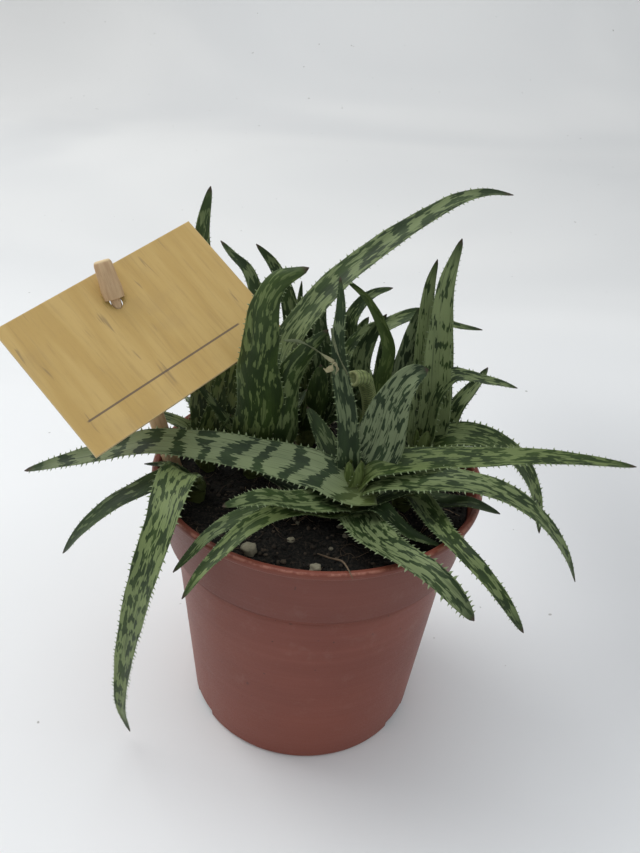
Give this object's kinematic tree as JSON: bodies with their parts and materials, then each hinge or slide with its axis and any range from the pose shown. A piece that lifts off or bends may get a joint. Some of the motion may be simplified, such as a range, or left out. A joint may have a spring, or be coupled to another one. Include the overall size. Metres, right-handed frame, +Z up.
{
  "type": "potted spider aloe",
  "caption": "Clump of mottled, toothed succulent rosettes in a round tapered nursery pot, with a blank care card on a wooden dowel.",
  "frame": {"origin": "middle of the flat underside of the pot", "axes": "+Z up along the pot's axis, -Y towards the viewer of the picture, +X to the viewer's right"},
  "size_m": [0.2185, 0.1521, 0.2026],
  "materials": {
    "pot_plastic": "thin injection-moulded plastic, brick red",
    "soil": "loose dark potting soil",
    "leaf": "waxy succulent leaf, dark green mottled with pale grey-green",
    "stalk": "dull pale green, finely ribbed",
    "card": "matt card with a printed wood grain",
    "dowel": "bare wood"
  },
  "bodies": {
    "root": {"pot": "pot_plastic", "soil": "soil", "rosette_front": "leaf", "rosette_right_front": "leaf", "rosette_right_back": "leaf", "rosette_left_back": "leaf", "rosette_back": "leaf", "rosette_centre": "leaf", "rosette_left": "leaf", "rosette_far_left": "leaf", "flower_stalk_stub": "stalk", "tag_card": "card", "tag_dowel": "dowel"}
  },
  "joints": []
}
